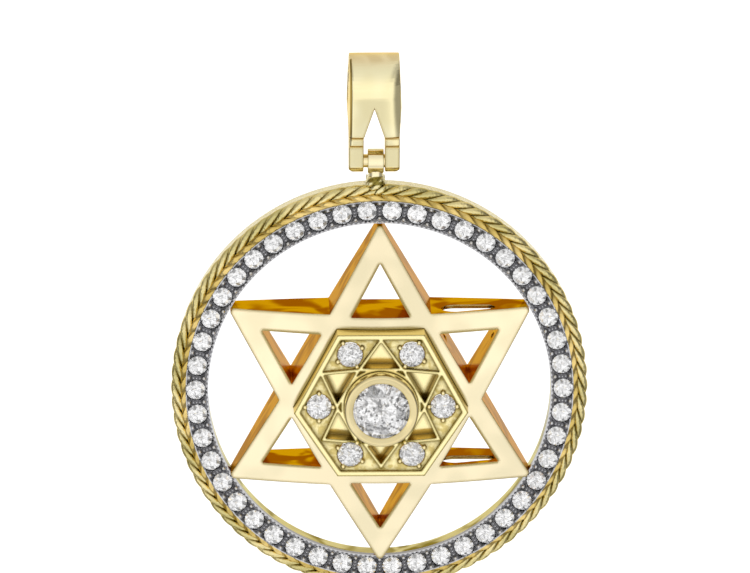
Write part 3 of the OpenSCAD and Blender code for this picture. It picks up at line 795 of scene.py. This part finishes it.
# %% Cluster plate and ring
SOLDER_FOOT, SOLDER_TOP, SOLDER_HALF_W = 17.03, 17.75, 1.1
FLANGE_R, FLANGE_END = 16.0, 17.0

eased_piece("cluster", "cluster_plate", "pendant", cluster_gold, width=0.02)
ring = eased_piece("halo_ring", "ring_and_hanger", "pendant", ring_gold, width=0.05)
ring.data.materials.append(wrap_gold)
for polygon in ring.data.polygons:
    rise, across = polygon.center.z - face_z, polygon.center.x - face_x
    on_foot = SOLDER_FOOT * MM < rise < SOLDER_TOP * MM and abs(across) < SOLDER_HALF_W * MM
    if on_foot or FLANGE_R * MM < hypot(rise, across) < FLANGE_END * MM:
        polygon.material_index = 1
print("soldered faces:", sum(polygon.material_index for polygon in ring.data.polygons))

# %% [markdown]
# The bail is filed round: its front and back bend towards each other near the sides, and the front falls
# off steeply at its left side, where the photo shows a narrow darker strip. The flat faces are first cut
# into strips, so that there is something to bend. The pin is a plain rod with eased ends.

# %% Bail and pin
BAIL_HALF_W = 2.21
BAIL_CROWN, CROWN_POWER, CROWN_DEPTH, LEFT_CROWN_SHARE = 0.5, 4, 1.8, 0.4
SIDE_FACET, FACET_FROM = 0.6, 0.84
CROWN_CUTS = (0.3, 0.5, 0.64, 0.75, 0.84, 0.91, 0.96)
CROWN_END, CROWN_LEVELS = -7.0, (-6.2, -5.4, -4.6, -3.6, -2.6, -1.8)


def crown_bail(bm):
    """Cuts the bail's faces into strips and bends them."""
    cuts = [((side * share * BAIL_HALF_W * MM, 0, 0), (1, 0, 0)) for share in CROWN_CUTS for side in (-1, 1)]
    cuts += [((0, 0, level * MM), (0, 0, 1)) for level in CROWN_LEVELS]
    for point, normal in cuts:
        bmesh.ops.bisect_plane(
            bm, geom=bm.verts[:] + bm.edges[:] + bm.faces[:], dist=WELD, plane_co=point, plane_no=normal)
    for vertex in bm.verts:
        fade = min(1.0, max(0.0, (vertex.co.z / MM - CROWN_END) / (CROWN_LEVELS[0] - CROWN_END)))
        share = min(1.0, abs(vertex.co.x) / (BAIL_HALF_W * MM))
        fade *= min(1.0, abs(vertex.co.y) / (CROWN_DEPTH * MM))
        drop = BAIL_CROWN * share ** CROWN_POWER
        if vertex.co.x < 0 and vertex.co.y < 0:
            facet = SIDE_FACET * max(0.0, share - FACET_FROM) / (1 - FACET_FROM)
            drop = BAIL_CROWN * LEFT_CROWN_SHARE * share ** CROWN_POWER + facet
        vertex.co.y *= 1 - fade * drop / CROWN_DEPTH


eased_piece("bail", "bail_loop", "bail", bail_gold, width=0.09, shaped=crown_bail)
eased_piece("hinge_pin", "pin", "bail", plain_gold, width=0.05)

# %% [markdown]
# The bezel is a turned collar: a tube whose top edge has been rubbed over the stone with a burnisher.
# Turning its profile with a rounded lip gives that soft rolled edge, which a plain chamfer lacks.

# %% Turned bezel
BEZEL_R, BEZEL_TOP, BEZEL_FOOT = 3.0, 7.2, 2.52
BORE_R, STONE_R = 1.824, 2.42
SEAT_TOP, SEAT_FOOT = 6.6, 6.0
LIP_ROUND, LIP_POINTS, LIP_HALF_TURN = 0.24, 9, 12
LIP_OVER, LIP_DROP, LIP_UNDER = 0.12, 0.2, 6.78
TURN_STEPS = 128


def join_rings(bm, rings, closed=True):
    """Joins rings of vertices by quads, each with the next, and the last with the first if closed."""
    quads = []
    for here, there in zip(rings, rings[1:] + (rings[:1] if closed else [])):
        for j in range(len(here)):
            k = (j + 1) % len(here)
            quads.append(bm.faces.new((here[j], here[k], there[k], there[j])))
    return quads


lip_angles = [i * pi / LIP_HALF_TURN for i in range(LIP_POINTS)]
bezel_profile = [
    (BORE_R, BEZEL_FOOT), (BEZEL_R, BEZEL_FOOT),
    *((BEZEL_R - LIP_ROUND + LIP_ROUND * cos(a), BEZEL_TOP - LIP_ROUND + LIP_ROUND * sin(a))
      for a in lip_angles),
    (STONE_R - LIP_OVER, BEZEL_TOP - LIP_DROP), (STONE_R, LIP_UNDER),
    (STONE_R, SEAT_TOP), (BORE_R, SEAT_FOOT)]
bezel_bm = bmesh.new()
join_rings(bezel_bm, [
    [bezel_bm.verts.new(TO_FRAME @ turn(r, 360 * i / TURN_STEPS, level)) for r, level in bezel_profile]
    for i in range(TURN_STEPS)])
bmesh.ops.recalc_face_normals(bezel_bm, faces=bezel_bm.faces)
bezel = place(bezel_bm, "bezel", "pendant", [bezel_gold])
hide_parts("centre_bezel")
print("bezel faces:", len(bezel.data.polygons))

# %% [markdown]
# The border is real twisted wire: three strands laid round each other, then bent into a ring and soldered
# behind the halo. Sweeping three round strands along a ring-shaped helix gives true grooves, which a bump
# map can't show in outline. The strands overlap a little, because solder fills the grooves.

# %% Twisted rope
ROPE_R, STRAND_R = 0.58, 0.305
LAY_R = ROPE_R - STRAND_R
STRANDS, TWISTS = 3, 26
STRAND_SIDES, STRAND_RINGS = 12, TWISTS * 22
rope_axis_r = (rope_high[0] - rope_low[0]) / 2 / MM - ROPE_R


def strand_point(strand, along):
    """A point on one strand's own middle line."""
    at = 360 * along
    lay = radians(360 * strand / STRANDS + TWISTS * at)
    return turn(rope_axis_r + LAY_R * cos(lay), at, LAY_R * sin(lay) - ROPE_SET)


rope_bm = bmesh.new()
for strand in range(STRANDS):
    rings = []
    for i in range(STRAND_RINGS):
        middle = strand_point(strand, i / STRAND_RINGS)
        ahead = (strand_point(strand, (i + 0.5) / STRAND_RINGS) - middle).normalized()
        side = ahead.cross(Vector((0, 0, 1))).normalized()
        over = side.cross(ahead)
        rings.append([
            rope_bm.verts.new(TO_FRAME @ (middle + STRAND_R * (side * cos(a) + over * sin(a))))
            for a in (2 * pi * k / STRAND_SIDES for k in range(STRAND_SIDES))])
    join_rings(rope_bm, rings)
bmesh.ops.recalc_face_normals(rope_bm, faces=rope_bm.faces)
rope = place(rope_bm, "twisted_rope", "pendant", [rope_gold], smooth_under=80)
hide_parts("rope_border")
print("rope axis radius:", round(rope_axis_r, 3), "faces:", len(rope.data.polygons))

# %% [markdown]
# Solder runs into the corner between the rope and the halo's wall, and the polished seam mirrors the
# rope: its lobes seem to turn back there, as a chevron. A narrow ring with lobes of the opposite lean
# gives that look from every side, which a true mirror shows only from a few.

# %% Soldered seam
SEAM_LOW, SEAM_HIGH = (rope_axis_r - 0.2, -0.68), (rope_axis_r - 0.59, -0.2)
SEAM_RUNGS, SEAM_SWELL, SEAM_LEAN = 8, 0.13, 1.3
SWELL_SHARE, SEAM_BOTTOM = 0.7, SEAM_LOW[1] - 0.15
LOBES = STRANDS * TWISTS
SEAM_STEPS = LOBES * 10


def seam_point(step, rung):
    """A point of the seam: a straight slope that swells where a mirrored lobe lies."""
    share = rung / SEAM_RUNGS
    at = 360 * step / SEAM_STEPS
    swell = SEAM_SWELL * sin(pi * share) * (1 + cos(radians(LOBES * at) + SEAM_LEAN * share * pi))
    radius, level = (low + (high - low) * share for low, high in zip(SEAM_LOW, SEAM_HIGH))
    return turn(radius + swell * SWELL_SHARE, at, level + swell * SWELL_SHARE)


seam_bm = bmesh.new()
seam_rows = []
for step in range(SEAM_STEPS):
    points = [seam_point(step, rung) for rung in range(SEAM_RUNGS + 1)]
    points.append(turn(SEAM_HIGH[0], 360 * step / SEAM_STEPS, SEAM_BOTTOM))
    seam_rows.append([seam_bm.verts.new(TO_FRAME @ point) for point in points])
join_rings(seam_bm, seam_rows)
bmesh.ops.recalc_face_normals(seam_bm, faces=seam_bm.faces)
seam = place(seam_bm, "solder_seam", "pendant", [seam_gold], smooth_under=60)
print("seam faces:", len(seam.data.polygons))

# %% [markdown]
# The hanger's foot is bound over the rope with short turns of thick wire, and solder fills them into a lumpy
# knob. Slanting ellipsoids side by side give its lumps and the creases between them, which the recess colour
# darkens as painted shade; a swept wire would look too clean.

# %% Solder knob at the hanger's foot
KNOB_AT, KNOB_LEVEL = (-0.25, 16.9), -0.86
TURNS, TURN_GAP, TURN_LEAN = 3, 0.46, radians(35)
TURN_HALF_L, TURN_HALF_W, TURN_RISE = 0.64, 0.29, 0.4
TURN_SIDES, TURN_TIERS = 24, 12

solder_bm = bmesh.new()
lean = Matrix.Rotation(TURN_LEAN, 3, "Z")
for i in range(TURNS):
    centre = Vector((*KNOB_AT, KNOB_LEVEL)) + lean @ Vector((0, TURN_GAP * (i - (TURNS - 1) / 2), 0))
    made = bmesh.ops.create_uvsphere(solder_bm, u_segments=TURN_SIDES, v_segments=TURN_TIERS, radius=1.0)
    for vertex in made["verts"]:
        x, y, z = vertex.co
        vertex.co = TO_FRAME @ (centre + lean @ Vector((TURN_HALF_L * x, TURN_HALF_W * y, TURN_RISE * z)))
bmesh.ops.recalc_face_normals(solder_bm, faces=solder_bm.faces)
solder = place(solder_bm, "solder_knob", "pendant", [wrap_gold], smooth_under=80)
print("solder knob faces:", len(solder.data.polygons))

# %% [markdown]
# The halo is a field of stones cut down into a dark plated band. The setter drills a seat for each
# stone, cuts the metal between into bright slopes, and leaves milled rails at both edges. The band is a
# fine grid whose height follows a formula; cups cut out of a solid would be rougher.

# %% The halo's dark band
RING_IN_R, BAND_W = 14.0, 1.85
BAND_OUT_R = RING_IN_R + BAND_W
STONE_COUNT, STONE_D = 46, 1.6
STONE_ROW_R = RING_IN_R + BAND_W * 0.55
FIRST_STONE = 90 + 180 / STONE_COUNT
GIRDLE = -0.208
RAIL_W, BEVEL_W, BEVEL_DROP, RAIL_RISE = 0.13, 0.25, 0.12, 0.03
CUP_GAP, CUP_DEPTH, CUP_SLOPE, CUP_FLOOR = 0.03, 0.08, 0.9, 1.12
WALL, BED_T = 0.45, 0.6
BAND_STEPS, BAND_RUNGS = STONE_COUNT * 24, 18
INNER_RAIL, OUTER_RAIL = 3, 1
METAL_SLOT, BEAD_SLOT, STONE_SLOT, RAIL_SLOT = range(4)


def band_height(radius, degrees):
    """How high the dark metal stands at a point: rails at both edges, and a cup under each stone."""
    share = (degrees - FIRST_STONE) / 360 * STONE_COUNT
    nearest = FIRST_STONE + round(share) * 360 / STONE_COUNT
    away = (turn(radius, degrees) - turn(STONE_ROW_R, nearest)).length
    to_edge = min(radius - RING_IN_R, BAND_OUT_R - radius)
    rail = max(0.0, 1 - to_edge / RAIL_W)
    slope = max(0.0, min(1.0, (to_edge - RAIL_W) / BEVEL_W)) * BEVEL_DROP
    top = -RAIL_RISE * (1 - rail) - slope
    into_cup = STONE_D / 2 + CUP_GAP - away
    if into_cup < 0:
        return top
    return min(top, GIRDLE - CUP_DEPTH - CUP_SLOPE * min(into_cup, STONE_D / 2))


field = bmesh.new()
grid = []
under = [(BAND_OUT_R, -BED_T), (BAND_OUT_R - WALL, -BED_T), (BAND_OUT_R - WALL, -CUP_FLOOR),
         (RING_IN_R + WALL, -CUP_FLOOR), (RING_IN_R + WALL, -BED_T), (RING_IN_R, -BED_T)]
for i in range(BAND_STEPS):
    at = 360 * i / BAND_STEPS
    over = [(radius, band_height(radius, at)) for radius in (
        RING_IN_R + BAND_W * j / BAND_RUNGS for j in range(BAND_RUNGS + 1))]
    grid.append([field.verts.new(TO_FRAME @ turn(radius, at, level)) for radius, level in over + under])
for i, face in enumerate(join_rings(field, grid)):
    on_metal = INNER_RAIL <= i % len(grid[0]) < BAND_RUNGS - OUTER_RAIL
    face.material_index = METAL_SLOT if on_metal else RAIL_SLOT
bmesh.ops.recalc_face_normals(field, faces=field.faces)
print("band faces:", len(field.faces))

# %% [markdown]
# The halo's stones are round brilliants: a flat table, a crown of star, kite and girdle facets, and a
# pointed pavilion that mirrors the light back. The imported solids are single-cut, which gives size and
# place; the full cut makes the field sparkle unevenly.

# %% A round brilliant
TABLE, STAR, CROWN, GIRDLE_T, PAVILION, LOW_BREAK = 0.55, 0.78, 0.145, 0.03, 0.43, 0.2
STAR_LEVEL, BREAK_LEVEL = 0.58, 0.83
MAINS = 8


def add_brilliant(bm, diameter, place_matrix, slot):
    """A round brilliant with its girdle's top at the matrix's origin."""
    def round_points(share, level, count, offset=0.0):
        radius = share * diameter / 2
        return [
            bm.verts.new(place_matrix @ Vector((
                radius * cos(radians(360 * i / count + offset)),
                radius * sin(radians(360 * i / count + offset)), level * diameter)))
            for i in range(count)]

    table = round_points(TABLE, CROWN, MAINS, 180 / MAINS)
    crown = round_points(STAR, CROWN * STAR_LEVEL, MAINS)
    girdle_top = round_points(1, 0, 2 * MAINS)
    girdle_low = round_points(1, -GIRDLE_T, 2 * MAINS)
    lower = round_points(LOW_BREAK, -(GIRDLE_T + PAVILION * BREAK_LEVEL), MAINS)
    culet = bm.verts.new(place_matrix @ Vector((0, 0, -(GIRDLE_T + PAVILION) * diameter)))
    faces = [table]
    for i in range(MAINS):
        before, after = (i - 1) % MAINS, (i + 1) % MAINS
        out_before = (2 * i - 1) % (2 * MAINS)
        faces += [
            (table[before], crown[i], table[i]),
            (table[i], crown[i], girdle_top[2 * i + 1]),
            (table[i], girdle_top[2 * i + 1], crown[after]),
            (crown[i], girdle_top[out_before], girdle_top[2 * i]),
            (crown[i], girdle_top[2 * i], girdle_top[2 * i + 1]),
            (lower[i], girdle_low[2 * i], girdle_low[out_before]),
            (lower[i], girdle_low[2 * i + 1], girdle_low[2 * i]),
            (lower[i], culet, girdle_low[2 * i + 1]),
            (lower[after], girdle_low[2 * i + 1], culet)]
    for i in range(2 * MAINS):
        after = (i + 1) % (2 * MAINS)
        faces.append((girdle_top[i], girdle_low[i], girdle_low[after], girdle_top[after]))
    made = [bm.faces.new(corners) for corners in faces]
    for face in made:
        face.material_index = slot
    bmesh.ops.recalc_face_normals(bm, faces=made)


print("brilliant ready")

# %% [markdown]
# Beads raised from the metal hold two stones at once, smaller grains fill the space between them, and a
# milling wheel leaves a row of tiny beads on the inner rail. All are domes, fused with the band and the
# stones into one body, because such a field is never taken apart.

# %% Stones and beads of the halo
BEAD_ROWS, BEAD_FOOT, BEAD_R, BEAD_RISE = (RING_IN_R + 0.38, BAND_OUT_R - 0.223), -0.14, 0.18, 0.19
FILL_ROWS = (RING_IN_R + 0.72, RING_IN_R + 0.98, RING_IN_R + 1.24)
FILL_FOOT, FILL_R, FILL_RISE = -0.17, 0.09, 0.14
MILL_COUNT, MILL_FOOT, MILL_R, MILL_RISE = STONE_COUNT * 5, -0.05, 0.1, 0.07
STONE_SPIN = 37  # degrees from one stone to the next, so that no two look alike


def add_dome(bm, centre, radius, rise, slot, sides=12, tiers=4):
    """A rounded bead on the ring's face, its foot at the centre's level."""
    tip = bm.verts.new(TO_FRAME @ (centre + Vector((0, 0, rise))))
    rings = []
    for tier in range(tiers):
        lift = tier / tiers * pi / 2
        rings.append([
            bm.verts.new(TO_FRAME @ (centre + Vector((
                radius * cos(lift) * cos(2 * pi * k / sides),
                radius * cos(lift) * sin(2 * pi * k / sides), rise * sin(lift)))))
            for k in range(sides)])
    made = join_rings(bm, rings, closed=False)
    made += [bm.faces.new((rings[-1][k], rings[-1][(k + 1) % sides], tip)) for k in range(sides)]
    for face in made:
        face.material_index = slot


for i in range(STONE_COUNT):
    at = FIRST_STONE + i * 360 / STONE_COUNT
    spin = Matrix.Rotation(radians(at + STONE_SPIN * i), 4, "Z")
    seat = Matrix.Translation(turn(STONE_ROW_R, at, GIRDLE)) @ spin
    add_brilliant(field, STONE_D, TO_FRAME @ seat, STONE_SLOT)
    between = at + 180 / STONE_COUNT
    for row in BEAD_ROWS:
        add_dome(field, turn(row, between, BEAD_FOOT), BEAD_R, BEAD_RISE, BEAD_SLOT)
    for row in FILL_ROWS:
        add_dome(field, turn(row, between, FILL_FOOT), FILL_R, FILL_RISE, RAIL_SLOT, sides=8, tiers=3)
for i in range(MILL_COUNT):
    foot = turn(RING_IN_R + MILL_R, 360 * i / MILL_COUNT, MILL_FOOT)
    add_dome(field, foot, MILL_R, MILL_RISE, RAIL_SLOT, sides=8, tiers=2)
halo = place(
    field, "pave_halo", "pendant", [dark_plating, bright_bead, melee, rail_plating], smooth_under=32,
    flat_slot=STONE_SLOT)
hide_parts("pave_bed", "pave_stones")
print("halo faces:", len(halo.data.polygons))

# %% [markdown]
# Each side stone is held by four grains raised from the plate around it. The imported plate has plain
# pegs there, so a small polished dome sits on each. The lower two stones sit a little further up.

# %% Grains round the side stones
SIDE_STONES, SIDE_STONE_R, GRAINS_A_STONE = 6, 5.05, 4
GRAIN_FOOT, GRAIN_SET, GRAIN_R, GRAIN_RISE = 5.6, 1.142, 0.2, 0.2
LOW_STONES, LOW_LIFT = (4, 5), 0.38

grains = bmesh.new()
for i in range(SIDE_STONES):
    bearing = 360 * i / SIDE_STONES
    middle = turn(SIDE_STONE_R, bearing, GRAIN_FOOT)
    if i in LOW_STONES:
        middle.y += LOW_LIFT
    for k in range(GRAINS_A_STONE):
        grain_at = middle + turn(GRAIN_SET, bearing + 360 * k / GRAINS_A_STONE)
        add_dome(grains, grain_at, GRAIN_R, GRAIN_RISE, 0)
grain_piece = place(grains, "setting_grains", "pendant", [grain_gold], smooth_under=80)
print("grains:", len(grain_piece.data.polygons))
